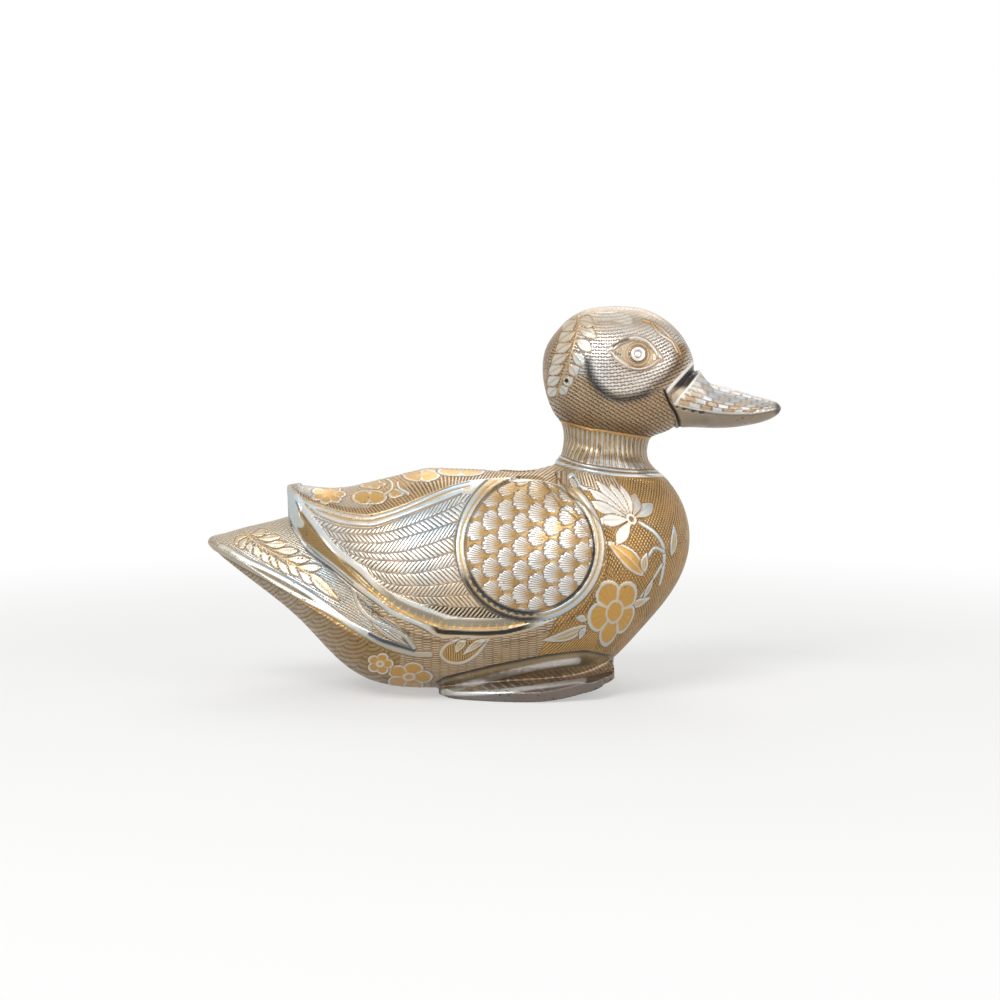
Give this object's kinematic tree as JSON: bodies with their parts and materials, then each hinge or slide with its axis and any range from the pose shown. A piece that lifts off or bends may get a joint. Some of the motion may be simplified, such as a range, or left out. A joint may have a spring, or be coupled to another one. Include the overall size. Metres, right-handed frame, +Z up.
{
  "type": "duck figurine",
  "caption": "Hollow cast brass duck with folded wings and webbed feet, engraved and silver plated, sitting upright.",
  "frame": {"origin": "on the table under the middle of the figure, between the feet", "axes": "+X towards the bill, +Y to the duck's left, +Z up"},
  "size_m": [0.181, 0.0744, 0.1206],
  "materials": {
    "body_metal": "engraved, silver plated, cut through to brass",
    "head_metal": "engraved, silver plated, cut through to brass",
    "bill_metal": "polished silver plate",
    "foot_metal": "silver plate, worn and pitted",
    "inner_brass": "turned"
  },
  "bodies": {
    "root": {"body_right": "body_metal", "body_left": "body_metal", "head_right": "head_metal", "head_left": "head_metal", "bill": "bill_metal", "foot_right": "foot_metal", "foot_left": "foot_metal", "neck_sleeve": "inner_brass"}
  },
  "joints": []
}
